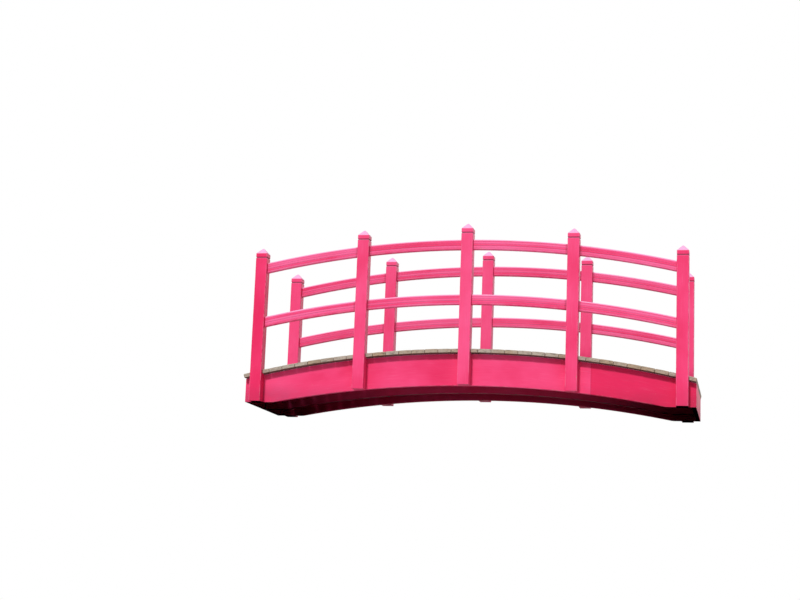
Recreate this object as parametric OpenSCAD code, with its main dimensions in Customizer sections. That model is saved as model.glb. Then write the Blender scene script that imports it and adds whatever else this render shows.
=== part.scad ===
// Arched timber garden footbridge: three bowed stringers carry a deck of cross
// boards, and each side has five plumb posts with a bowed top rail and mid rail
// butted between them.
// Sizes are millimetres. X runs along the bridge, Y across it, Z up. The origin
// is on the ground, under the crown of the arch and midway across.

/* [Span] */
// Distance from one post line to the next
bay_l = 914; // [700:1:1100]
// How far the stringers run on past the middle of an end post
end_run = 113; // [100:1:220]
// Width of the frame over the outer faces of the side stringers
frame_w = 1041; // [700:1:1500]

/* [Arch] */
// Radius of the arc that the deck, the rails and the post tops follow
arch_r = 8180; // [6500:10:12000]
// Radius of the stringers' lower edge
soffit_r = 9000; // [7000:10:12500]
// Depth of a stringer at the crown
stringer_d = 276; // [220:1:340]
// Thickness of a stringer
stringer_t = 42; // [30:1:60]
// Length of the level bearing under each stringer end
bearing_l = 243; // [160:1:400]
// Flat taken off each bowed edge of a stringer
stringer_ease = 4; // [1:0.5:8]

/* [Deck] */
// Thickness of a deck board
board_t = 32; // [20:1:45]
// Open joint between deck boards
board_gap = 3; // [2:0.5:12]
// How far the boards stand out past the side stringers
board_lip = 67; // [30:1:90]
// Gap between a post and the notch cut for it
notch_gap = 3; // [1:0.5:8]
// Rise of a flat board off the bowed stringer tops
board_seat = 0.3; // [0.2:0.1:1]
// Flat taken off the upper edges of a deck board
board_ease = 3; // [1:0.5:6]

/* [Posts] */
// Side of a square post
post_w = 102; // [80:1:130]
// Height of a post's point above the top rail
post_over_rail = 150; // [120:1:260]
// Height of the pyramid that tops a post
point_h = 56; // [20:1:90]
// Distance from the pyramid's foot down to the groove
groove_drop = 38; // [20:1:60]
// Width of the groove at the post's face
groove_w = 11; // [4:0.5:20]
// Depth of the groove
groove_d = 6; // [2:0.5:10]
// Flat taken off each long edge of a post
post_ease = 4; // [1:0.5:8]

/* [Rails] */
// Depth of a rail
rail_d = 90; // [60:1:120]
// Thickness of a rail
rail_t = 44; // [30:1:70]
// Height of the top rail's upper edge above the deck
top_rail_h = 949; // [850:1:1100]
// Distance from the top rail's upper edge down to the mid rail's
rail_spacing = 479; // [300:1:600]
// Flat taken off each long edge of a rail
rail_ease = 5; // [1:0.5:10]

/* [Framing] */
// Thickness of the end beams and cross ties
beam_t = 38; // [30:1:60]
// Depth of a cross tie
tie_d = 184; // [100:1:200]
// Drop of a cross tie's top below the stringers' tops
tie_drop = 12; // [5:1:30]

/* [Hidden] */
// Count of bays, posts to a side and deck boards to a bay
BAYS = 4;
POSTS = BAYS + 1;
BAY_BOARDS = 8;
// Post lines that have cross ties
TIE_LINES = [2, 3, 4];
SIDES = ["front", "back"];
ARC_FN = 256;

PAINT = [0.86, 0.13, 0.33];
BARE_TIMBER = [0.66, 0.60, 0.55];

// Places along the bridge
half_l = BAYS / 2 * bay_l + end_run;
function post_x(i) = (i - (POSTS + 1) / 2) * bay_l;

// Fall of an arc of radius r below its crown, at a distance x from the crown
function fall(r, x) = r - sqrt(r * r - x * x);

// Heights at the crown
soffit_z = fall(soffit_r, half_l - bearing_l);
seat_z = soffit_z + stringer_d;
deck_z = seat_z + board_t;
post_h = top_rail_h + post_over_rail;
mid_rail_h = top_rail_h - rail_spacing;

// Height of the stringers' top, and of their lower edge, at x
function seat_at(x) = seat_z - fall(arch_r, x);
function soffit_at(x) = max(0, soffit_z - fall(soffit_r, x));

// Lean of the arc at x, and the arc's angle from +X for a point at x on radius r
function lean(x) = asin(x / arch_r);
function arc_angle(r, x) = acos(x / r);

// Side of the bridge: -1 is the front, 1 is the back
function side_y(name) = name == "front" ? -1 : 1;
stringer_y = (frame_w - stringer_t) / 2;
post_y = (frame_w + post_w) / 2;

// Bowed outline of a stringer of half length len. Its top follows the arch, its
// lower edge a flatter arc, and its ends are cut level to bear on the ground.
module stringer_outline(len) {
    difference() {
        intersection() {
            translate([0, seat_z - arch_r])
            circle(r = arch_r, $fn = ARC_FN);
            translate([-len, 0])
            square([2 * len, seat_z + stringer_d]);
        }
        translate([0, soffit_z - soffit_r])
        circle(r = soffit_r, $fn = ARC_FN);
    }
}

// Hoop of square bar set on edge. It takes a flat of size stringer_ease off both
// edges of a stringer along the arc of radius r, whose crown is at crown_z.
module edge_hoops(r, crown_z) {
    bar = stringer_ease * sqrt(2);
    for (dir = [-1, 1])
        translate([0, 0, crown_z - r])
        rotate([90, 0, 0])
        rotate_extrude($fn = ARC_FN)
        translate([r, dir * stringer_t / 2])
        rotate(45)
        square(bar, center = true);
}

// Stringer of half length len on the line y, with its bowed edges eased
module stringer(y, len) {
    color(PAINT)
    translate([0, y, 0])
    difference() {
        rotate([90, 0, 0])
        linear_extrude(height = stringer_t, center = true)
        stringer_outline(len);
        edge_hoops(arch_r, seat_z);
        edge_hoops(soffit_r, soffit_z);
    }
}

// Beam that closes the frame between the side stringers at one end, dir -1 or 1
module end_beam(dir) {
    inner_w = frame_w - 2 * stringer_t;
    color(PAINT)
    translate([dir * (half_l - beam_t / 2), 0, seat_at(half_l) / 2])
    cube([beam_t, inner_w, seat_at(half_l)], center = true);
}

// Pair of ties at post line i, from the centre stringer to each side stringer
module cross_tie(i) {
    tie_l = frame_w / 2 - stringer_t * 3 / 2;
    tie_top = seat_at(post_x(i)) - tie_drop;
    color(PAINT)
    for (dir = [-1, 1])
        translate([post_x(i), dir * (stringer_t + tie_l) / 2, tie_top - tie_d / 2])
        cube([beam_t, tie_l, tie_d], center = true);
}

// Room that the post at line i takes out of the deck on both sides
module post_notches(i) {
    notch_w = post_w + 2 * notch_gap;
    for (dir = [-1, 1])
        translate([post_x(i), dir * (post_y - notch_gap), deck_z / 2])
        cube([notch_w, post_w, 2 * deck_z], center = true);
}

// Section of a deck board of width w, its upper edges eased
module board_section(w) {
    half = w / 2;
    in = half - board_ease;
    polygon([
        [-half, 0], [half, 0], [half, board_t - board_ease], [in, board_t],
        [-in, board_t], [-half, board_t - board_ease]
    ]);
}

// Deck boards that fill the arc from x0 to x1, count of them, each one flat and
// square to the arc where it lies
module board_run(x0, x1, count) {
    step = (lean(x1) - lean(x0)) / count;
    board_w = arch_r * step * PI / 180 - board_gap;
    board_l = frame_w + 2 * board_lip;
    for (k = [0 : count - 1])
        translate([0, 0, seat_z - arch_r])
        rotate([0, lean(x0) + (k + 0.5) * step, 0])
        translate([0, 0, arch_r + board_seat])
        rotate([90, 0, 0])
        linear_extrude(height = board_l, center = true)
        board_section(board_w);
}

// Deck boards of bay b, notched round the posts. An end bay also has the board
// that lies beyond its end post.
module deck_boards(b) {
    color(BARE_TIMBER)
    difference() {
        union() {
            board_run(post_x(b), post_x(b + 1), BAY_BOARDS);
            if (b == 1)
                board_run(-half_l, post_x(1), 1);
            if (b == BAYS)
                board_run(post_x(POSTS), half_l, 1);
        }
        post_notches(b);
        post_notches(b + 1);
    }
}

// Outline of a post seen square on, from its foot to its point
function post_outline(foot, foot_of_point) = let (
    half = post_w / 2,
    groove = foot_of_point - groove_drop,
    right = [
        [half, foot],
        [half, groove - groove_w / 2],
        [half - groove_d, groove],
        [half, groove + groove_w / 2],
        [half, foot_of_point]
    ]
) concat(
    right,
    [[0, foot_of_point + point_h]],
    [for (k = [len(right) - 1 : -1 : 0]) [-right[k][0], right[k][1]]]
);

// Square section of a post with its corners eased
module post_section() {
    half = post_w / 2;
    in = half - post_ease;
    polygon([
        [half, -in], [half, in], [in, half], [-in, half],
        [-half, in], [-half, -in], [-in, -half], [in, -half]
    ]);
}

// Plumb post at line i. Two outlines crossed at right angles make the pyramid
// and carry the groove round all four faces. Its foot is flush with the lower
// edge of the stringer that it laps.
module post(side, i) {
    x = post_x(i);
    top = seat_at(x) + board_t + post_h;
    foot = soffit_at(x);
    color(PAINT)
    translate([x, side_y(side) * post_y, 0])
    intersection() {
        rotate([90, 0, 0])
        linear_extrude(height = post_w, center = true)
        polygon(post_outline(foot, top - point_h));
        rotate([90, 0, 90])
        linear_extrude(height = post_w, center = true)
        polygon(post_outline(foot, top - point_h));
        linear_extrude(height = top)
        post_section();
    }
}

// Section of a rail, its upper edge at radius r, with eased edges
module rail_section(r) {
    half = rail_t / 2;
    in = half - rail_ease;
    low = r - rail_d;
    polygon([
        [r, -in], [r - rail_ease, -half], [low + rail_ease, -half], [low, -in],
        [low, in], [low + rail_ease, half], [r - rail_ease, half], [r, in]
    ]);
}

// Rail of bay b with its upper edge h above the deck. The bowed bar is swept a
// little past both posts and cut plumb where it butts on their faces.
module rail(side, b, h) {
    x0 = post_x(b) + post_w / 2;
    x1 = post_x(b + 1) - post_w / 2;
    outer = max(abs(x0), abs(x1));
    inner = min(abs(x0), abs(x1));
    steep = arc_angle(arch_r - rail_d, outer);
    flat = arc_angle(arch_r, inner);
    start = x1 > 0 ? steep : 180 - flat;
    color(PAINT)
    translate([0, side_y(side) * post_y, 0])
    intersection() {
        translate([0, 0, seat_z + board_t + h - arch_r])
        rotate([90, 0, 0])
        rotate_extrude(angle = flat - steep, start = start, $fn = ARC_FN)
        rail_section(arch_r);
        translate([x0, -rail_t, 0])
        cube([x1 - x0, 2 * rail_t, deck_z + post_h]);
    }
}

for (s = SIDES)
    stringer(side_y(s) * stringer_y, half_l);
stringer(0, half_l - beam_t);  // centre_stringer
end_beam(-1);  // left_end_beam
end_beam(1);  // right_end_beam
for (i = TIE_LINES)
    cross_tie(i);
for (b = [1 : BAYS])
    deck_boards(b);
for (s = SIDES, i = [1 : POSTS])
    post(s, i);
for (s = SIDES, b = [1 : BAYS])
    rail(s, b, top_rail_h);
for (s = SIDES, b = [1 : BAYS])
    rail(s, b, mid_rail_h);
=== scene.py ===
"""Arched red timber footbridge: the finish of every surface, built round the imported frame.

Lengths are metres. X runs along the bridge, Y across it, Z up, and the origin is on the
ground under the crown of the arch. Every new piece is a skin of points on a grid and keeps
its own timber's coordinates in the attribute "grain": along the fibres, across and up.
"""

from math import pi, radians

import bpy
import numpy as np
from mathutils import Matrix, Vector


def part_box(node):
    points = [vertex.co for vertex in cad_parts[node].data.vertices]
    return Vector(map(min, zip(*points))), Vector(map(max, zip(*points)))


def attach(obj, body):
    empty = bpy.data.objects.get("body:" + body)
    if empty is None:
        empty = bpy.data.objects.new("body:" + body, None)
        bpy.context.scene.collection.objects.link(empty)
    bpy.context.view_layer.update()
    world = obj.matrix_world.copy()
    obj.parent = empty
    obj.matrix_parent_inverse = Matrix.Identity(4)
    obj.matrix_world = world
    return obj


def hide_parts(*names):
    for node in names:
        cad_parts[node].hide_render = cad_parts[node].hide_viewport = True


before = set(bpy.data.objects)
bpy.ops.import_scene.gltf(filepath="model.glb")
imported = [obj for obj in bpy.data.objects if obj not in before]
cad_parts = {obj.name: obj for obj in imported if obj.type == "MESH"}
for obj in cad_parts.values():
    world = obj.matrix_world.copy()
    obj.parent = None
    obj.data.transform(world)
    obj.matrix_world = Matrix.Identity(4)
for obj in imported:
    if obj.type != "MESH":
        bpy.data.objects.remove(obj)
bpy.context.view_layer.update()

MM = 0.001
SIDES = {"front": -1, "back": 1}
POSTS = (1, 2, 3, 4, 5)
BAYS = (1, 2, 3, 4)
RAIL_KINDS = ("top", "mid")
BAY_BOARDS = 8

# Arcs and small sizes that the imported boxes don't give
ARCH_R = 8180 * MM
SOFFIT_R = 9000 * MM
RAIL_D = 90 * MM
BOARD_T = 32 * MM
BOARD_GAP = 3 * MM
BOARD_SEAT = 0.3 * MM
NOTCH_GAP = 3 * MM
POINT_H = 56 * MM
GROOVE_DROP = 38 * MM
GROOVE_W = 11 * MM
GROOVE_D = 6 * MM

# Rounded edges, and how far past a round the flat face is pinned
POST_ROUND = 6 * MM
RAIL_ROUND = 12 * MM
STRINGER_ROUND = 5 * MM
FRAMING_ROUND = 3 * MM
BOARD_ROUND = 4 * MM
END_ROUND = 1.5 * MM
EAVE_ROUND = 3 * MM
TIP_ROUND = 7 * MM
PIN = 2 * MM

# Groove of a post: how far its lips are eased, and the width and depth of its narrow floor
LIP_EASE = 0.3 * MM
GROOVE_FLOOR_W = GROOVE_W / 4
GROOVE_FLOOR_D = GROOVE_D * 0.75

# Half widths of the rings that close a post's point, and the one below which it is all edge
TIP_RINGS = np.array([8, 6, 4.4, 3, 1.8, 0.8]) * MM
TIP_EDGE = 5 * MM

# Distance between the stations of a skin: closer on the bowed pieces than on the straight
RAIL_PITCH = 22 * MM
STRINGER_PITCH = 25 * MM
STRAIGHT_PITCH = 60 * MM

# Bent strips that a rail is glued up from, the V joint between two of them, and how far
# each joint has opened, from the lowest up
RAIL_STRIPS = 5
STRIP_JOINT_W = 2.2 * MM
STRIP_JOINT_D = 1.1 * MM
STRIP_OPENING = (0.8, 1.1, 1.9, 0.9)

# Butt joint in each side stringer: its place in the front one, and its open V
BUTT_X = 1.07
BUTT_W = 3 * MM
BUTT_D = 1.6 * MM

# Unevenness of a deck board: how much its top is cupped and its ends are trimmed, both from
# and to, in millimetres, and how far it wanders in height and place over its length
CUPS = (0.2, 1.2)
TRIMS = (0, 2.5)
WANDER_UP = 0.5 * MM
WANDER_ASIDE = 1.2 * MM
WANDER_LENGTH = 1.2

# Top of a deck board: its points between the rounds, and the share of its width they span
CROWN_POINTS = 5
CROWN_SPAN = 0.85

# Notches in the boards: the share of a board's width within which a post line cuts it, and
# the length of a notch's shoulder
NOTCH_SHARE = 0.75
SHOULDER = 0.6 * MM

# Share of an edge's mark that is gone where the end face begins, and the crease marks of an
# end that is butted against another piece, of a groove's lips and of a notch's wall
RIM_FADE = 0.75
BUTTED_GRIME = 0.6
LIP_GRIME = 0.4
NOTCH_GRIME = 0.5

# Tones of the timber from 0 to 1: the range of each kind of piece, how far the rails stand
# above theirs, and how far a stringer's shorter length is below its own, partly its own
# tone and partly painted shade
STRIP_TONES = (0.34, 0.66)
FRAMING_TONES = (0.2, 0.6)
POST_TONES = (0.3, 0.7)
BOARD_TONES = (0.1, 0.9)
# Rails are lighter and chalkier: partly their own tone, partly painted sun and sky reflection
RAIL_LIGHTER_AND_SKY_LIT = 0.2
SHORTER_DEEPER_AND_SHADED = 0.4

# Timber that pieces are cut from, as ranges in metres: where a piece starts in it, and how
# far the pith is from a deck board, aside and below
STOCK = (3, 40)
PITH_ASIDE = (-0.05, 0.05)
PITH_BELOW = (0.04, 0.12)

# Deck screws: how far each of a pair is from its board's middle, and how far one strays
# along the bridge and across it, in millimetres
DECK_SCREW_ASIDE = 32 * MM
DECK_STRAY = (3, 5)

# Coach screws behind a post: the way from its middle, and the share of the stringer's height
COACH_PLACES = ((-33 * MM, 0.72), (33 * MM, 0.3))

# Framing screws: their heights, and how far one strays along the bridge and up, in millimetres
FRAMING_HEIGHTS = (48 * MM, 102 * MM, 156 * MM)
FRAMING_STRAY = (2, 4)

# Kinds of piece that have random numbers of their own, in the order of their seeds
SEEDED = ("rail", "stringer", "post", "board", "coach_screws", "crosswise", "framing_screws")


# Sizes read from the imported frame

def middle(node, axis):
    """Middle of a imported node's box on one axis."""
    low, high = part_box(node)
    return (low[axis] + high[axis]) / 2


def size(node, axis):
    """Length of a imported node's box on one axis."""
    low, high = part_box(node)
    return high[axis] - low[axis]


POST_W = size("front_post_3", 0)
POST_Y = middle("back_post_3", 1)
POST_X = {i: middle(f"front_post_{i}", 0) for i in POSTS}
RAIL_T = size("front_top_rail_2", 1)
SEAT_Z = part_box("front_stringer")[1].z
SOFFIT_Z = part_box("front_post_3")[0].z
HALF_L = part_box("front_stringer")[1].x
STRINGER_T = size("front_stringer", 1)
STRINGER_Y = middle("back_stringer", 1)
INNER_Y = STRINGER_Y - STRINGER_T / 2
OUTER_Y = STRINGER_Y + STRINGER_T / 2
BOARD_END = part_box("deck_boards_2")[1].y
NOTCH_Y = POST_Y - POST_W / 2 - NOTCH_GAP


def fall(radius, x):
    """Drop of an arc below its crown at x: the radius less the root of its square less x squared."""
    return radius - np.sqrt(radius * radius - np.square(x))


def seat_at(x):
    """Height of the stringers' upper edge: the crown's height less the arch's fall."""
    return SEAT_Z - fall(ARCH_R, x)


def soffit_at(x):
    """Height of the stringers' lower edge: the soffit's arc, and the level bearing past it."""
    return np.maximum(0.0, SOFFIT_Z - fall(SOFFIT_R, x))


# Random numbers

def dice(kind, *numbers):
    """Random numbers of one piece, seeded by its kind and its own whole numbers."""
    return np.random.default_rng([SEEDED.index(kind) + 1, *numbers])


def cut_from(rng):
    """Random place in the stock that a piece is cut from, so that no two share their grain."""
    return rng.uniform(*STOCK, 3)


def stray(rng, reach):
    """Random distance to either side, within a reach in millimetres."""
    return rng.uniform(-reach, reach) * MM


def wander(rng, length, reach):
    """Slow unevenness along a piece: a sum of four sine waves of random length, phase and height.

    From half a wave to four waves go into the length, and together they stay within the reach.
    """
    count = 4
    waves = rng.uniform(0.5, 4.0, count) / length
    phase = rng.uniform(0, 2 * pi, count)
    height = rng.uniform(0.3, 1.0, count) * reach / count
    return lambda s: sum(h * np.sin(2 * pi * w * s + p) for h, w, p in zip(height, waves, phase))


# Skins

# Ring that sections are made from: four quarter rounds, each with a pin either side. As
# complex numbers, right plus i times up: the corner, the way out to its round, and the
# pin's place back along the face.
TURN = np.linspace(0, pi / 2, 5)
CORNER_POINTS = len(TURN) + 2
QUARTER = 1j ** np.arange(4)[:, None]
CORNER = (QUARTER * (1 + 1j) * np.ones(CORNER_POINTS)).ravel()
ROUND = (QUARTER * np.concatenate([[1], np.exp(1j * TURN), [1j]])).ravel()
PINNED = (QUARTER * np.concatenate([[-1j], 0 * TURN, [-1]])).ravel()
ON_ROUND = np.tile(np.concatenate([[0], np.ones_like(TURN), [0]]), 4)

# Angle between two faces, in degrees, from which the edge between them is shaded sharp
SHARP_ANGLE = 42


def ring(half_w, half_h, rounding, pin=PIN):
    """Rounded rectangle, anticlockwise from its right face: corner plus round plus pin on each axis."""
    right = CORNER.real * (half_w - rounding) + ROUND.real * rounding + PINNED.real * pin
    up = CORNER.imag * (half_h - rounding) + ROUND.imag * rounding + PINNED.imag * pin
    return right, up


def drawn_in(start, end, pitch, rounding):
    """Stations from start to end, and how far the section is drawn in at each one.

    The end edges are quarter rounds: the distance from the end is one less the sine of the
    turn, the section is drawn in by one less its cosine, both times the rounding.
    """
    run = rounding * (1 - np.sin(TURN[::-1]))
    pull = rounding * (1 - np.cos(TURN[::-1]))
    inner = rounding + PIN
    count = max(2, round((end - start - 2 * inner) / pitch) + 1)
    plain = np.linspace(start + inner, end - inner, count)
    place = np.concatenate([start + run, plain, end - run[::-1]])
    return place, np.concatenate([pull, 0 * plain, pull[::-1]])


def rim_mark(pull):
    """Mark of the edges round an end: full where the draw begins, and fading towards the end face."""
    return (pull > 0) * (1 - RIM_FADE * np.minimum(pull / END_ROUND, 1))


def butted(place, start, end):
    """Mark of the two ends of a piece that are butted against others."""
    return BUTTED_GRIME * (np.minimum(place - start, end - place) < END_ROUND + PIN)


class Skins:
    """Closed skins gathered into one mesh.

    A skin is a grid of points: rows follow the piece, and columns run once round it,
    anticlockwise seen against the way that the rows go. Its first and last rows are capped.
    """

    def __init__(self):
        self.points, self.grain, self.faces = [], [], []
        self.marks = {"edge": [], "crease": [], "tone": []}
        self.count = 0

    def add(self, grid, grain, edge=0.0, crease=0.0, tone=0.5):
        """Adds one skin: its points, its timber coordinates, and marks from 0 to 1 for the finish."""
        rows, columns = grid.shape[:2]
        index = self.count + np.arange(rows * columns).reshape(rows, columns)
        after = np.roll(index, -1, axis=1)
        sides = np.stack([index[:-1], after[:-1], after[1:], index[1:]], axis=-1)
        self.faces += sides.reshape(-1, 4).tolist()
        self.faces += [index[0, ::-1].tolist(), index[-1].tolist()]
        self.points.append(grid.reshape(-1, 3))
        self.grain.append(grain.reshape(-1, 3))
        for name, mark in (("edge", edge), ("crease", crease), ("tone", tone)):
            self.marks[name].append(np.broadcast_to(mark, (rows, columns)).ravel())
        self.count += rows * columns

    def make(self, name, finish, nodes=()):
        """The object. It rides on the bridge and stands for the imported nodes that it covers."""
        mesh = bpy.data.meshes.new(name)
        mesh.from_pydata(np.concatenate(self.points).tolist(), [], self.faces)
        grain = mesh.attributes.new("grain", "FLOAT_VECTOR", "POINT")
        grain.data.foreach_set("vector", np.concatenate(self.grain).astype(np.float32).ravel())
        for mark, values in self.marks.items():
            layer = mesh.attributes.new(mark, "FLOAT", "POINT")
            layer.data.foreach_set("value", np.concatenate(values).astype(np.float32))
        mesh.polygons.foreach_set("use_smooth", np.ones(len(mesh.polygons), bool))
        mesh.set_sharp_from_angle(angle=radians(SHARP_ANGLE))
        mesh.materials.append(finish)
        piece = bpy.data.objects.new(name, mesh)
        bpy.context.scene.collection.objects.link(piece)
        flats = piece.modifiers.new("even_flats", "WEIGHTED_NORMAL")
        flats.keep_sharp = True
        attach(piece, "root")
        if nodes:
            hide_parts(*nodes)


def points_of(x, y, z):
    """Grid of points from its three coordinates, each one a number, a row, a column or a grid."""
    return np.stack(np.broadcast_arrays(x, y, z), axis=-1)


# Bowed bars

def bar_section(width, rounding, strips=1):
    """Section of a bowed bar, anticlockwise from its back face, as columns of a table.

    Height is a share of the bar's depth, 0 at its lower edge and 1 at its upper, plus an
    inset in metres. The faces of a bar glued up from strips have a V joint at each equal
    share: two of its three points are on the strip below, and one on the strip above. The
    second half is the first, turned half way round.
    """
    across, up = ring(width / 2, 0.0, rounding)
    half = len(across) // 2
    joints = np.arange(1, strips) / strips
    opening = np.repeat(STRIP_OPENING[:len(joints)], 3)
    v_depth = opening * np.tile([0, STRIP_JOINT_D, 0], len(joints))
    v_reach = opening * np.tile([-STRIP_JOINT_W / 2, 0, STRIP_JOINT_W / 2], len(joints))
    across = np.concatenate([width / 2 - v_depth, across[:half]])
    inset = np.concatenate([v_reach, up[:half]])
    share = np.concatenate([np.repeat(joints, 3), np.ones(half)])
    edge = np.concatenate([0 * v_depth, ON_ROUND[:half]])
    crease = np.concatenate([v_depth > 0, np.zeros(half)])
    strip = np.concatenate([np.repeat(np.arange(strips), 3)[1:-2], np.full(half, strips - 1)])
    return {
        "across": np.concatenate([across, -across]),
        "share": np.concatenate([share, 1 - share]),
        "inset": np.concatenate([inset, -inset]),
        "edge": np.tile(edge, 2),
        "crease": np.tile(crease, 2),
        "strip": np.concatenate([strip, strips - 1 - strip]),
    }


def bowed_bar(skins, x, pull, y, low, high, section, rng, crease=0.0, tone=0.0):
    """Skin of a bar that stands plumb at each station x, between the curves low and high.

    Height is low, plus the share of the depth, plus the inset. Where the bar is drawn in,
    its section shrinks about its middle, and the mark of an edge fades towards the end face.
    """
    x, pull = x[:, None], pull[:, None]
    bottom, top = low(x), high(x)
    centre, half_h = (top + bottom) / 2, (top - bottom) / 2
    half_w = section["across"].max()
    up = bottom + (top - bottom) * section["share"] + section["inset"] - centre
    shrink_w, shrink_h = 1 - pull / half_w, 1 - pull / half_h
    grid = points_of(x, y + section["across"] * shrink_w, centre + up * shrink_h)
    grain = points_of(x, section["across"], up) + cut_from(rng)
    tones = rng.uniform(*STRIP_TONES, section["strip"].max() + 1)
    skins.add(
        grid,
        grain,
        edge=np.maximum(section["edge"] * (pull == 0), rim_mark(pull)),
        crease=np.maximum(section["crease"], crease),
        tone=tones[section["strip"]] + tone,
    )


def make_rail(side, kind, bay, section, finish):
    """Rail of one bay: both its edges are arcs about one centre, and it stops plumb at the posts."""
    node = f"{side}_{kind}_rail_{bay}"
    rng = dice("rail", SIDES[side] + 1, RAIL_KINDS.index(kind), bay)
    low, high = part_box(node)
    start, end = low.x, high.x
    crown = high.z + fall(ARCH_R, min(abs(start), abs(end)))
    x, pull = drawn_in(start, end, RAIL_PITCH, END_ROUND)
    skins = Skins()
    bowed_bar(
        skins,
        x,
        pull,
        SIDES[side] * POST_Y,
        lambda s: crown - RAIL_D - fall(ARCH_R - RAIL_D, s),
        lambda s: crown - fall(ARCH_R, s),
        section,
        rng,
        crease=butted(x, start, end)[:, None],
        # Lighter tone of the rails: partly their own, partly painted sun and sky reflection
        tone=RAIL_LIGHTER_AND_SKY_LIT,
    )
    skins.make(f"{node}_finished", finish, [node])


def make_stringer(node, way, finish):
    """Stringer between the arch and the soffit. The way is -1 at the front, 0 midway, 1 at the back.

    A side one has a butt joint, where its section is drawn in to a fine V. Its shorter
    length, out past the joint, is of a deeper tone, partly its own and partly painted shade.
    """
    rng = dice("stringer", 500 * (way + 2))
    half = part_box(node)[1].x
    butt = -way * BUTT_X
    x, pull = drawn_in(-half, half, STRINGER_PITCH, END_ROUND)
    shorter = in_joint = 0.0
    if butt:
        lip = BUTT_W / 2
        x = np.concatenate([x, butt + np.array([-PIN - lip, -lip, 0, lip, PIN + lip])])
        pull = np.concatenate([pull, [0, 0, BUTT_D, 0, 0]])
        order = np.argsort(x)
        x, pull = x[order], pull[order]
        shorter = (x / butt > 1)[:, None]
        in_joint = (x == butt)[:, None]
    skins = Skins()
    bowed_bar(
        skins,
        x,
        pull,
        way * STRINGER_Y,
        soffit_at,
        seat_at,
        bar_section(STRINGER_T, STRINGER_ROUND),
        rng,
        crease=in_joint,
        # Deeper past the butt joint: partly the other length's own tone, partly painted shade
        tone=-SHORTER_DEEPER_AND_SHADED * shorter,
    )
    skins.make(f"{node}_finished", finish, [node])


def make_crosswise(node, spans, finish):
    """Straight bar from back to front, in one length for each span: a ring carried along Y.

    Its seed is its place along the bridge, in whole millimetres from 10 m to the left.
    """
    rng = dice("crosswise", round((10 + middle(node, 0)) / MM))
    half_w, half_h = size(node, 0) / 2, size(node, 2) / 2
    right, up = ring(half_w, half_h, FRAMING_ROUND)
    skins = Skins()
    for start, end in spans:
        y, pull = [v[::-1, None] for v in drawn_in(start, end, STRAIGHT_PITCH, END_ROUND)]
        across, height = right * (1 - pull / half_w), up * (1 - pull / half_h)
        skins.add(
            points_of(middle(node, 0) + across, y, middle(node, 2) + height),
            points_of(y, across, height) + cut_from(rng),
            edge=np.maximum(ON_ROUND * (pull == 0), rim_mark(pull)),
            crease=butted(y, start, end),
            tone=rng.uniform(*FRAMING_TONES),
        )
    skins.make(f"{node}_finished", finish, [node])


# Posts

def post_profile(foot, top):
    """Outline of a post from its foot to its tip: heights, half widths, and marks of edge and crease.

    The groove is a V with a narrow floor. The point's slope turns in at the eave as a
    quadratic curve, and at the tip as a hyperbola: top less the root of the slope's drop
    squared plus the tip's rounding squared.
    """
    half = POST_W / 2
    eave = top - POINT_H
    groove = eave - GROOVE_DROP
    slope = POINT_H / half
    lip, floor = GROOVE_W / 2, GROOVE_FLOOR_W / 2
    t = np.linspace(0, 1, 5)
    shaft = [
        (foot, half - END_ROUND, 1, 0),
        (foot + END_ROUND, half, 1, 0),
        (foot + END_ROUND + PIN, half, 0, 0),
        (groove - lip - PIN, half, 0, 0),
        (groove - lip, half - LIP_EASE, 1, LIP_GRIME),
        (groove - floor, half - GROOVE_FLOOR_D, 0, 1),
        (groove + floor, half - GROOVE_FLOOR_D, 0, 1),
        (groove + lip, half - LIP_EASE, 1, LIP_GRIME),
        (groove + lip + PIN, half, 0, 0),
        (eave - EAVE_ROUND - PIN, half, 0, 0),
    ]
    z_eave = eave - EAVE_ROUND * (1 - t) ** 2 + slope * EAVE_ROUND * t**2
    half_eave = half - EAVE_ROUND * t**2
    fading = half - EAVE_ROUND - PIN
    half_point = np.concatenate([np.linspace(fading, TIP_RINGS[0], 6), TIP_RINGS[1:]])
    z_point = top - np.sqrt((slope * half_point) ** 2 + TIP_ROUND**2)
    height, width, edge, crease = np.array(shaft).T
    return (
        np.concatenate([height, z_eave, z_point]),
        np.concatenate([width, half_eave, half_point]),
        np.concatenate([edge, 1 + 0 * t, half_point < TIP_EDGE]),
        np.concatenate([crease, 0 * t, 0 * half_point]),
    )


def make_post(side, i, finish):
    """Plumb post: a square ring at each height of its profile, with rounds that shrink with its width."""
    node = f"{side}_post_{i}"
    rng = dice("post", SIDES[side] + 1, i)
    low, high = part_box(node)
    height, half, edge, crease = [v[:, None] for v in post_profile(low.z, high.z)]
    share = half / half.max()
    right, up = ring(half, half, POST_ROUND * share, PIN * share)
    grid = points_of(POST_X[i] + right, SIDES[side] * POST_Y + up, height)
    grain = points_of(height, right, up) + cut_from(rng)
    skins = Skins()
    skins.add(
        grid,
        grain,
        edge=np.maximum(edge, ON_ROUND * (half > TIP_EDGE)),
        crease=crease,
        tone=rng.uniform(*POST_TONES),
    )
    skins.make(f"{node}_finished", finish, [node])


# Deck

def lean(x):
    """Lean of the arch at x: the angle whose sine is x over the radius."""
    return np.arcsin(x / ARCH_R)


def board_places(x0, x1, count):
    """Leans of the boards that fill the arc from x0 to x1, and the width of each."""
    step = (lean(x1) - lean(x0)) / count
    return lean(x0) + (np.arange(count) + 0.5) * step, ARCH_R * step - BOARD_GAP


def on_board(tilt, s, t):
    """Place on a board that leans by tilt: s along the bridge from its middle, t above its underside."""
    reach = ARCH_R + BOARD_SEAT + t
    x = reach * np.sin(tilt) + s * np.cos(tilt)
    z = SEAT_Z - ARCH_R + reach * np.cos(tilt) - s * np.sin(tilt)
    return x, z


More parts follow.
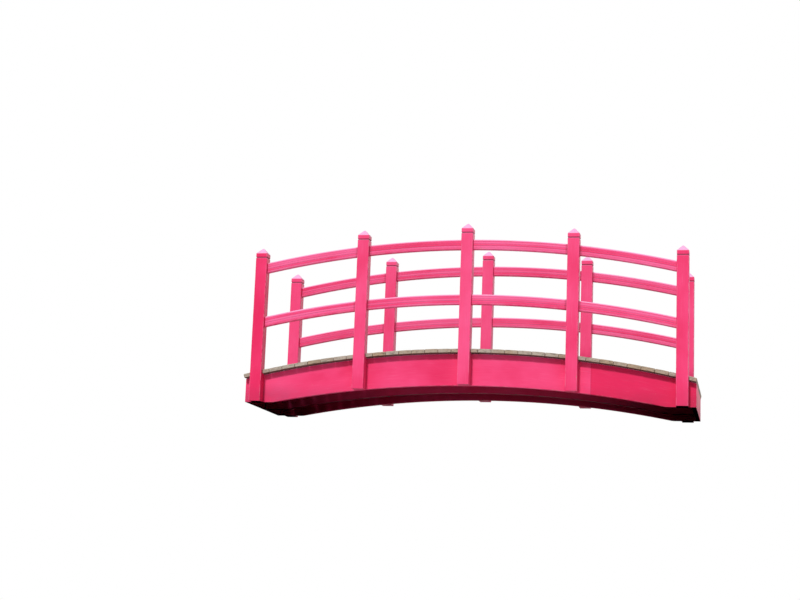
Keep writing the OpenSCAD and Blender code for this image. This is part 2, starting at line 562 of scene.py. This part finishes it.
def notch_beside(tilt, width, x0, x1):
    """Notch of a board in the run from x0 to x1: its wall's x, and the way from there to the far edge.

    A board is notched beside a post line that is close to its middle. The deck's two ends
    are no post lines.
    """
    reach = POST_W / 2 + NOTCH_GAP
    for x, way in ((x0, 1), (x1, -1)):
        if abs(x) < HALF_L - MM and abs(x - ARCH_R * np.sin(tilt)) < width * NOTCH_SHARE:
            return x + way * reach, way
    return None


def deck_board(skins, tilt, width, notch, rng):
    """Skin of one board, its rows going from back to front, and the shape that its screws sit on.

    Its top is cupped by a parabola across, and it wanders a little in height and place along
    its length. Past the notch line its section is squeezed towards its far edge, until its
    near one stands on the notch's plumb wall, where s is the wall's x less the reach times
    the sine of the tilt, all over the cosine of the tilt.
    """
    half_t, half_w = BOARD_T / 2, width / 2
    cup = rng.uniform(*CUPS) * MM
    lift = wander(rng, WANDER_LENGTH, WANDER_UP)
    shift = wander(rng, WANDER_LENGTH, WANDER_ASIDE)
    trim = rng.uniform(*TRIMS, 2) * MM
    y, pull = drawn_in(-BOARD_END + trim[0], BOARD_END - trim[1], STRAIGHT_PITCH, 2 * END_ROUND)
    if notch:
        shoulder = np.array([-NOTCH_Y - SHOULDER, -NOTCH_Y, NOTCH_Y, NOTCH_Y + SHOULDER])
        order = np.argsort(np.concatenate([y, shoulder]))
        y = np.concatenate([y, shoulder])[order]
        pull = np.concatenate([pull, 0 * shoulder])[order]
    y, pull = y[::-1, None], pull[::-1, None]
    s, t = ring(half_w, half_t, BOARD_ROUND)
    crown = np.linspace(1, -1, CROWN_POINTS + 2)[1:-1] * half_w * CROWN_SPAN
    s = np.insert(s, CORNER_POINTS, crown)
    t = np.insert(t, CORNER_POINTS, half_t + 0 * crown)
    edge = np.insert(ON_ROUND, CORNER_POINTS, 0 * crown)
    level = half_t + t * (1 - pull / half_t)
    place = s * (1 - pull / half_w) + shift(y)
    sawn = 0 * place
    if notch:
        wall, way = notch
        limit = (wall - (ARCH_R + BOARD_SEAT + level) * np.sin(tilt)) / np.cos(tilt)
        far = shift(y) + way * (half_w - pull)
        squeeze = np.minimum((far - limit) / (2 * way * (half_w - pull)), 1)
        past = np.abs(y) > NOTCH_Y + SHOULDER / 2
        place = np.where(past, far + (place - far) * squeeze, place)
        sawn = past & (np.abs(place - limit) < END_ROUND)
    level = level + abs(lift(0)) + np.abs(lift(y)) + cup * (1 - (place / half_w) ** 2) * (t > 0)
    x, z = on_board(tilt, place, level)
    pith = np.array([rng.uniform(*STOCK), rng.uniform(*PITH_ASIDE), rng.uniform(*PITH_BELOW)])
    skins.add(
        points_of(x, y, z),
        points_of(y, place, level) + pith,
        edge=np.maximum(edge, pull > 0),
        crease=NOTCH_GRIME * sawn,
        tone=rng.uniform(*BOARD_TONES),
    )

    def top_at(at, across):
        """Place on the board's top, at s and Y."""
        hump = cup * (1 - (at / half_w) ** 2) + abs(lift(across)) + abs(lift(0))
        return on_board(tilt, at, BOARD_T + hump)

    return top_at


def make_deck_bay(bay, screws, finish):
    """Boards of one bay, and their screws in the skins given. An end bay has one board past its post."""
    first, last = POST_X[bay], POST_X[bay + 1]
    runs = [(first, last, BAY_BOARDS)]
    if bay == BAYS[0]:
        runs.append((-HALF_L, first, 1))
    if bay == BAYS[-1]:
        runs.append((last, HALF_L, 1))
    boards = Skins()
    for run, (x0, x1, count) in enumerate(runs):
        tilts, width = board_places(x0, x1, count)
        for k, tilt in enumerate(tilts):
            rng = dice("board", bay, run, k)
            top = deck_board(boards, tilt, width, notch_beside(tilt, width, x0, x1), rng)
            screw_down(screws, tilt, top, rng)
    boards.make(f"deck_boards_{bay}_finished", finish, [f"deck_boards_{bay}"])


# Fastenings

# Profiles that are turned about an axis, as radius and height: a countersunk screw's head
# with its recess, and the washer and head of a coach screw
SCREW_HEAD = [(4.4, -1.5), (4.4, 0.2), (4.0, 0.7), (2.6, 0.9)]
SCREW_RECESS = [(2.2, 0.8), (1.9, -0.9), (0.5, -1.1)]
SCREW = np.array(SCREW_HEAD + SCREW_RECESS) * MM
WASHER = np.array([(14, -0.5), (14, 1.6), (13.4, 2.2), (9, 2.2)]) * MM
HEX_HEAD = np.array([(8.6, 2.0), (8.6, 7.2), (7.6, 8.2), (4.0, 8.4)]) * MM
SCREW_SIDES = 12
WASHER_SIDES = 24
HEX_SIDES = 6


def turned(skins, centre, axis, profile, sides, spin):
    """Skin turned about an axis, each row of its profile a radius and a height above the centre.

    A point is the centre, plus the radius times the way out to it, plus the height times the
    axis. That way is a first one across the axis times the angle's cosine, plus a second one
    square to both times its sine.
    """
    axis = np.array(axis, float)
    steep = abs(axis[2]) > 0.9
    first = np.cross(axis, [0.0, 1.0, 0.0] if steep else [0.0, 0.0, 1.0])
    first /= np.linalg.norm(first)
    second = np.cross(axis, first)
    angle = spin + np.arange(sides) * 2 * pi / sides
    way = np.cos(angle)[:, None] * first + np.sin(angle)[:, None] * second
    radius, height = profile[:, :1, None], profile[:, 1:, None]
    grid = np.array(centre) + radius * way + height * axis
    skins.add(grid, grid)


def screw_down(skins, tilt, top, rng):
    """Two screws through a board into each stringer, square to its top and each a little out of line."""
    axis = (np.sin(tilt), 0.0, np.cos(tilt))
    for y in (-STRINGER_Y, 0.0, STRINGER_Y):
        for s in (-DECK_SCREW_ASIDE, DECK_SCREW_ASIDE):
            at = s + stray(rng, DECK_STRAY[0])
            across = y + stray(rng, DECK_STRAY[1])
            x, z = top(at, across)
            turned(skins, (x, across, z), axis, SCREW, SCREW_SIDES, rng.uniform(0, pi))


def make_coach_screws(finish):
    """Two coach screws with washers inside each side stringer, behind every post."""
    skins = Skins()
    for way in SIDES.values():
        axis = (0, -way, 0)
        for i in POSTS:
            rng = dice("coach_screws", way + 1, i)
            x = POST_X[i]
            foot, seat = float(soffit_at(x)), float(seat_at(x))
            for offset, share in COACH_PLACES:
                place = (x + offset, way * INNER_Y, foot + (seat - foot) * share)
                turned(skins, place, axis, WASHER, WASHER_SIDES, 0.0)
                turned(skins, place, axis, HEX_HEAD, HEX_SIDES, rng.uniform(0, pi))
    skins.make("coach_screws", finish)


def make_framing_screws(finish):
    """Screws through each end of the side stringers into the end beam behind it, painted over."""
    skins = Skins()
    for way in SIDES.values():
        for end in (-1, 1):
            rng = dice("framing_screws", way + 1, end + 1)
            for height in FRAMING_HEIGHTS:
                at = end * (HALF_L - size("left_end_beam", 0) / 2) + stray(rng, FRAMING_STRAY[0])
                place = (at, way * OUTER_Y, height + stray(rng, FRAMING_STRAY[1]))
                turned(skins, place, (0, way, 0), SCREW, SCREW_SIDES, rng.uniform(0, pi))
    skins.make("framing_screws", finish)


# Finishes

class Value:
    """A number that changes over a surface. Sums on it add their Math nodes."""

    def __init__(self, nodes, socket):
        self.nodes, self.socket = nodes, socket

    def math(self, operation, *terms):
        """The Math node of that operation on these terms."""
        return self.nodes.node("ShaderNodeMath", {"operation": operation}, dict(enumerate(terms)))

    def __add__(self, other):
        return self.math("ADD", self, other)

    def __sub__(self, other):
        return self.math("SUBTRACT", self, other)

    def __rsub__(self, other):
        return self.math("SUBTRACT", other, self)

    def __mul__(self, other):
        return self.math("MULTIPLY", self, other)

    def __truediv__(self, other):
        return self.math("DIVIDE", self, other)

    def __rtruediv__(self, other):
        return self.math("DIVIDE", other, self)

    def __pow__(self, other):
        return self.math("POWER", self, other)

    def __rpow__(self, other):
        return self.math("POWER", other, self)

    def __abs__(self):
        return self.math("ABSOLUTE", self)

    def part(self):
        """What is left of it past a whole number."""
        return self.math("FRACT", self)

    def most(self, other):
        """The larger of the two."""
        return self.math("MAXIMUM", self, other)

    def rise(self, low, high):
        """0 up to low and 1 from high, with a smooth step between. High may be the lower one."""
        sockets = {0: self, 1: low, 2: high, 3: 0.0, 4: 1.0}
        return self.nodes.node("ShaderNodeMapRange", {"interpolation_type": "SMOOTHSTEP"}, sockets)

    __radd__ = __add__
    __rmul__ = __mul__


class Nodes:
    """Nodes of one material or world."""

    def __init__(self, owner):
        owner.use_nodes = True
        self.tree = owner.node_tree
        self.tree.nodes.clear()

    def node(self, kind, settings=None, sockets=None, output=0):
        """Adds a node: its settings first, then its sockets, each a number, a colour or a Value."""
        node = self.tree.nodes.new(kind)
        for key, setting in (settings or {}).items():
            setattr(node, key, setting)
        for key, given in (sockets or {}).items():
            if isinstance(given, Value):
                self.tree.links.new(given.socket, node.inputs[key])
            else:
                node.inputs[key].default_value = given
        return Value(self, node.outputs[output]) if len(node.outputs) else None

    def attribute(self, name, output="Fac"):
        """A mark that the mesh carries."""
        return self.node("ShaderNodeAttribute", {"attribute_name": name}, output=output)

    def axes(self, vector):
        """The three numbers of a vector."""
        first = self.node("ShaderNodeSeparateXYZ", sockets={0: vector})
        outputs = first.socket.node.outputs
        return [Value(self, outputs[k]) for k in range(3)]

    def noise(self, place, stretch, detail=2.0, roughness=0.5):
        """Noise from 0 to 1 with so many blots to the metre along each axis."""
        spread = self.node("ShaderNodeVectorMath", {"operation": "MULTIPLY"}, {0: place, 1: stretch})
        sockets = {"Vector": spread, "Scale": 1.0, "Detail": detail, "Roughness": roughness}
        return self.node("ShaderNodeTexNoise", sockets=sockets)

    def mix(self, share, first, second):
        """Colour between two others."""
        sockets = {0: share, 6: first, 7: second}
        return self.node("ShaderNodeMix", {"data_type": "RGBA"}, sockets, output=2)

    def surface(self, height, sockets):
        """Ends a material: a shader with these sockets and a bump whose height is in millimetres."""
        bump = self.node("ShaderNodeBump", sockets={"Strength": 1.0, "Distance": MM, "Height": height})
        shader = self.node("ShaderNodeBsdfPrincipled", sockets={**sockets, "Normal": bump})
        self.node("ShaderNodeOutputMaterial", sockets={"Surface": shader})


def colour(red, green, blue):
    """Linear colour of these screen values from 0 to 255, with full alpha."""
    screen = np.array([red, green, blue]) / 255
    linear = np.where(screen < 0.04045, screen / 12.92, ((screen + 0.055) / 1.055) ** 2.4)
    return (*linear.tolist(), 1.0)


CRIMSON = colour(244, 38, 106)
DEEP_CRIMSON = colour(224, 20, 84)
# Paler crimson, for pale fibres and for paint that faces the sky, which is partly sun fading and partly a
# painted highlight
FADED_AND_HIGHLIT_CRIMSON = colour(252, 198, 242)
CHALKED_CRIMSON = colour(248, 150, 204)
RUBBED_CRIMSON = colour(248, 140, 172)
GRIME = colour(92, 24, 42)
SILVER_TIMBER = colour(186, 174, 158)
TAN_TIMBER = colour(174, 148, 118)
PALE_TIMBER = colour(214, 204, 190)
DARK_TIMBER = colour(104, 86, 70)
# Dark timber of the boards' undersides, a painted shade
SHADED_UNDERSIDE_TIMBER = colour(70, 54, 46)
CHECK_TIMBER = colour(46, 36, 29)
DULL_ZINC = colour(118, 120, 122)
BRIGHT_ZINC = colour(168, 170, 170)

# Growth rings of the boards: from one to the next, and how far slow noise warps them
RING_SPACING = 4.5 * MM
RING_WARP = 30 * MM


def crimson_paint(name):
    """Satin crimson paint brushed on planed timber, whose grain shows through.

    Its tone varies and it is chalky in places. Where it faces the sky it is paler, partly from
    sun fading and partly as a painted highlight. It is rubbed thin and here and there chipped to
    the timber on edges, and grimy in joints and close to the ground.
    """
    material = bpy.data.materials.new(name)
    nodes = Nodes(material)
    fibre = nodes.attribute("grain", "Vector")
    edge, crease, tone = [nodes.attribute(mark) for mark in ("edge", "crease", "tone")]
    fibres = nodes.noise(fibre, (6, 240, 240), 4, 0.6)
    strokes = nodes.noise(fibre, (13, 850, 850), 1)
    cloud = nodes.noise(fibre, (2.4, 3.6, 3.6), 3)
    blotch = nodes.noise(fibre, (16, 26, 26), 4, 0.6)
    speck = nodes.noise(fibre, (70, 170, 170), 3)
    skyward = nodes.axes(nodes.node("ShaderNodeNewGeometry", output="Normal"))[2].rise(0.08, 0.55)
    above_ground = nodes.axes(nodes.node("ShaderNodeTexCoord", output="Object"))[2]

    fresh = (cloud * 0.7 + tone * 0.6).rise(0.35, 0.9)
    # Paler where it faces the sky: partly sun fading, partly a painted highlight
    faded_and_highlit = skyward * (0.56 + blotch * 0.44) * (1 - crease)
    chalked = (tone + cloud * 0.4).rise(0.55, 1.3)
    rubbed = blotch.rise(0.36, 0.68) * edge
    chipped = (speck + edge * 0.1).rise(0.765, 0.785)
    splashed = above_ground.rise(0.2, 0.0) * cloud.rise(0.25, 0.75)
    grimy = (splashed * 0.5).most(crease * 0.75)

    tint = nodes.mix(fresh, DEEP_CRIMSON, CRIMSON)
    tint = nodes.mix(chalked * 0.45, tint, CHALKED_CRIMSON)
    tint = nodes.mix(fibres.rise(0.5, 0.8) * 0.3, tint, DEEP_CRIMSON)
    tint = nodes.mix(fibres.rise(0.45, 0.2) * 0.1, tint, FADED_AND_HIGHLIT_CRIMSON)
    tint = nodes.mix(faded_and_highlit, tint, FADED_AND_HIGHLIT_CRIMSON)
    tint = nodes.mix(rubbed * 0.4, tint, RUBBED_CRIMSON)
    tint = nodes.mix(grimy, tint, GRIME)
    tint = nodes.mix(chipped, tint, TAN_TIMBER)

    gloss = 0.42 + cloud * 0.1 + faded_and_highlit * 0.16 + rubbed * 0.08 + grimy * 0.2 + chipped * 0.3
    height = fibres * 0.16 + strokes * 0.05 + blotch * 0.1 - chipped * 0.2
    nodes.surface(height, {"Base Color": tint, "Roughness": gloss, "Specular IOR Level": 0.25})
    return material


def bare_timber(name):
    """Unpainted boards gone grey: solid growth rings about the pith, raised latewood, drying checks.

    A ring's place is the distance from the pith, warped by slow noise, over the rings'
    spacing. The walked-on middle is paler. The upper edges are paler too, partly worn and
    partly a painted highlight. The undersides are darkened as painted shade, and the sawn
    ends are split level.
    """
    material = bpy.data.materials.new(name)
    nodes = Nodes(material)
    fibre = nodes.attribute("grain", "Vector")
    edge, crease, tone = [nodes.attribute(mark) for mark in ("edge", "crease", "tone")]
    across, up = nodes.axes(fibre)[1:]
    warp = nodes.noise(fibre, (1.3, 10, 10), 2)
    ring_place = (across**2 + up**2) ** 0.5 + warp * RING_WARP
    ring_share = (ring_place / RING_SPACING).part()
    late = ring_share.rise(0.35, 0.9) * ring_share.rise(1.0, 0.93)
    fibres = nodes.noise(fibre, (7, 380, 380), 4, 0.65)
    cloud = nodes.noise(fibre, (4, 16, 16), 3)
    on_bridge = nodes.node("ShaderNodeTexCoord", output="Object")
    stain = nodes.noise(on_bridge, (9, 9, 9), 4, 0.6)
    walked = abs(nodes.axes(on_bridge)[1]).rise(0.42, 0.12)
    check = nodes.noise(fibre, (2.6, 150, 90), 2).rise(0.69, 0.735)
    facing = nodes.axes(nodes.node("ShaderNodeNewGeometry", output="Normal"))
    sawn = abs(facing[1]).rise(0.55, 0.85)
    # Painted shade: the undersides of the boards are darkened
    underside_shade = facing[2].rise(-0.1, -0.7)
    split = nodes.noise(fibre, (1, 20, 260), 2).rise(0.58, 0.66) * sawn

    tint = nodes.mix((cloud * 0.5 + tone * 0.7).rise(0.3, 0.85), TAN_TIMBER, SILVER_TIMBER)
    tint = nodes.mix(late * 0.42, tint, DARK_TIMBER)
    tint = nodes.mix(fibres.rise(0.45, 0.75) * 0.5, tint, DARK_TIMBER)
    tint = nodes.mix(walked * 0.25, tint, SILVER_TIMBER)
    tint = nodes.mix((stain.rise(0.55, 0.75) * 0.35).most(crease * 0.5), tint, DARK_TIMBER)
    # Upper edges paler: partly worn, partly a painted highlight where they face up
    tint = nodes.mix(edge * 0.55 * facing[2].rise(-0.2, 0.5), tint, PALE_TIMBER)
    tint = nodes.mix(underside_shade * 0.8, tint, SHADED_UNDERSIDE_TIMBER)
    tint = nodes.mix((check * 0.85).most(split * 0.6), tint, CHECK_TIMBER)

    gloss = 0.86 - walked * 0.12 - late * 0.06
    height = late * 0.35 + fibres * 0.25 - (check * 1.2).most(split)
    nodes.surface(height, {"Base Color": tint, "Roughness": gloss})
    return material


def zinc(name):
    """Galvanized steel: dull grey with darker spangle."""
    material = bpy.data.materials.new(name)
    nodes = Nodes(material)
    place = nodes.node("ShaderNodeTexCoord", output="Object")
    spangle = nodes.noise(place, (420, 420, 420), 3)
    dull = nodes.noise(place, (60, 60, 60), 3)
    tint = nodes.mix(spangle.rise(0.35, 0.7), DULL_ZINC, BRIGHT_ZINC)
    gloss = 0.42 + dull * 0.25
    nodes.surface(spangle * 0.05, {"Base Color": tint, "Roughness": gloss, "Metallic": 0.85})
    return material


# Assembly

PAINT = crimson_paint("crimson_paint")
TIMBER = bare_timber("weathered_timber")
ZINC = zinc("galvanized_steel")

for node in ("left_end_beam", "right_end_beam"):
    make_crosswise(node, [(-INNER_Y, INNER_Y)], PAINT)
for i in POSTS[1:-1]:
    spans = [(-INNER_Y, -STRINGER_T / 2), (STRINGER_T / 2, INNER_Y)]
    make_crosswise(f"cross_tie_{i}", spans, PAINT)

rail_section = bar_section(RAIL_T, RAIL_ROUND, RAIL_STRIPS)
for side, way in SIDES.items():
    for i in POSTS:
        make_post(side, i, PAINT)
    for kind in RAIL_KINDS:
        for bay in BAYS:
            make_rail(side, kind, bay, rail_section, PAINT)
    make_stringer(f"{side}_stringer", way, PAINT)
make_stringer("centre_stringer", 0, PAINT)

deck_screws = Skins()
for bay in BAYS:
    make_deck_bay(bay, deck_screws, TIMBER)
deck_screws.make("deck_screws", ZINC)
make_coach_screws(ZINC)
make_framing_screws(PAINT)


# Camera, light and floor

# The camera's place, its three angles in degrees, and its focal length and picture in pixels
CAMERA_AT = (2.4245, -14.2445, -1.6553)
YAW, PITCH, ROLL = 12.39, 10.32, 2.18
FOCAL_PX = 1650
PICTURE_PX = 800
SENSOR_W = 36

SKY_LIGHT = (0.28, 0.29, 0.30, 1.0)
WHITE = (1.0, 1.0, 1.0, 1.0)
FLOOR_GREY = (0.74, 0.74, 0.73, 1.0)
FLOOR_REACH = 60.0


def make_camera():
    """Camera at the place from which the bridge is seen a little from its right and from below."""
    lens = bpy.data.cameras.new("camera")
    lens.sensor_width = SENSOR_W
    lens.lens = FOCAL_PX * SENSOR_W / PICTURE_PX
    camera = bpy.data.objects.new("camera", lens)
    yaw = Matrix.Rotation(radians(YAW), 4, "Z")
    pitch = Matrix.Rotation(pi / 2 + radians(PITCH), 4, "X")
    roll = Matrix.Rotation(radians(ROLL), 4, "Z")
    camera.matrix_world = Matrix.Translation(CAMERA_AT) @ yaw @ pitch @ roll
    bpy.context.scene.collection.objects.link(camera)
    bpy.context.scene.camera = camera


def make_sun(name, strength, softness, azimuth, elevation):
    """Broad parallel light from an azimuth, where 0 is the front and 90 the right, and an elevation."""
    light = bpy.data.lights.new(name, "SUN")
    light.energy = strength
    light.angle = radians(softness)
    sun = bpy.data.objects.new(name, light)
    sun.rotation_euler = (pi / 2 - radians(elevation), 0, radians(azimuth))
    bpy.context.scene.collection.objects.link(sun)


def make_sky():
    """Even soft light, and plain white to the camera and in reflections."""
    world = bpy.data.worlds.new("studio")
    bpy.context.scene.world = world
    nodes = Nodes(world)
    rays = ("Is Camera Ray", "Is Glossy Ray", "Is Transmission Ray")
    camera, glossy, through = [nodes.node("ShaderNodeLightPath", output=ray) for ray in rays]
    seen = camera.most(glossy).most(through)
    light = nodes.mix(seen, SKY_LIGHT, WHITE)
    sky = nodes.node("ShaderNodeBackground", sockets={"Color": light, "Strength": 1.0})
    nodes.node("ShaderNodeOutputWorld", sockets={"Surface": sky})


def make_floor():
    """Pale level floor under the bearings, clear from its underside, where the camera is."""
    corners = np.array([(-1, -1, 0), (1, -1, 0), (1, 1, 0), (-1, 1, 0)]) * FLOOR_REACH
    mesh = bpy.data.meshes.new("floor")
    mesh.from_pydata(corners.tolist(), [], [(0, 1, 2, 3)])
    material = bpy.data.materials.new("pale_floor")
    nodes = Nodes(material)
    pale = nodes.node("ShaderNodeBsdfDiffuse", sockets={"Color": FLOOR_GREY})
    clear = nodes.node("ShaderNodeBsdfTransparent")
    below = nodes.node("ShaderNodeNewGeometry", output="Backfacing")
    shader = nodes.node("ShaderNodeMixShader", sockets={0: below, 1: pale, 2: clear})
    nodes.node("ShaderNodeOutputMaterial", sockets={"Surface": shader})
    mesh.materials.append(material)
    floor = bpy.data.objects.new("floor", mesh)
    bpy.context.scene.collection.objects.link(floor)


make_camera()
make_sun("key_light", strength=2.45, softness=7, azimuth=-8, elevation=38)
make_sun("fill_light", strength=0.6, softness=40, azimuth=160, elevation=30)
make_sky()
make_floor()
bpy.context.scene.view_settings.view_transform = "Standard"
